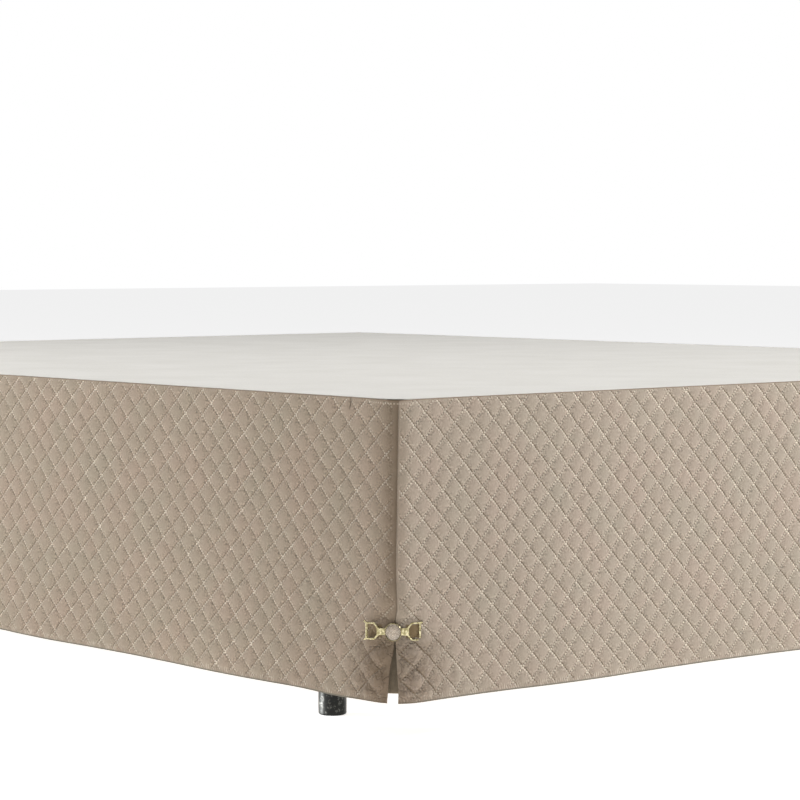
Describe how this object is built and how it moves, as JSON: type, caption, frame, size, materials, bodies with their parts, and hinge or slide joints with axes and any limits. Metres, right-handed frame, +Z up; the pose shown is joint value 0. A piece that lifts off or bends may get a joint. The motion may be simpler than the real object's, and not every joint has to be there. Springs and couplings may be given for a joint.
{
  "type": "bed skirt on bed base",
  "caption": "Quilted bed skirt hung round the foot and sides of a box bed base on round feet, its corner slits drawn together by stone-set buckles.",
  "frame": {"origin": "on the floor, under the middle of the part", "axes": "+Z up; +Y along the bed towards its open head end; +X across the bed, to the right seen from the foot end"},
  "size_m": [1.6114, 1.9943, 0.4],
  "materials": {
    "quilted_cloth": "quilted in small diamonds with cream thread, matt with a faint sheen",
    "flap_cloth": "plain weave, matt, darker khaki",
    "deck_cloth": "plain thin lining cloth, matt",
    "base_cover": "plain upholstery cloth, matt",
    "foot_metal": "dark polished",
    "gold": "pale gold plate, polished",
    "stone": "small faceted stones, pale lilac grey"
  },
  "bodies": {
    "root": {"bed_base": "base_cover", "foot_1": "foot_metal", "foot_2": "foot_metal", "foot_3": "foot_metal", "foot_4": "foot_metal", "foot_5": "foot_metal", "foot_6": "foot_metal", "deck_cloth": "deck_cloth", "foot_panel": "quilted_cloth", "side_panel_left": "quilted_cloth", "side_panel_right": "quilted_cloth", "corner_flap_left": "flap_cloth", "corner_flap_right": "flap_cloth", "buckle_left": "gold", "buckle_right": "gold", "stone_plate_left": "stone", "stone_plate_right": "stone"}
  },
  "joints": []
}
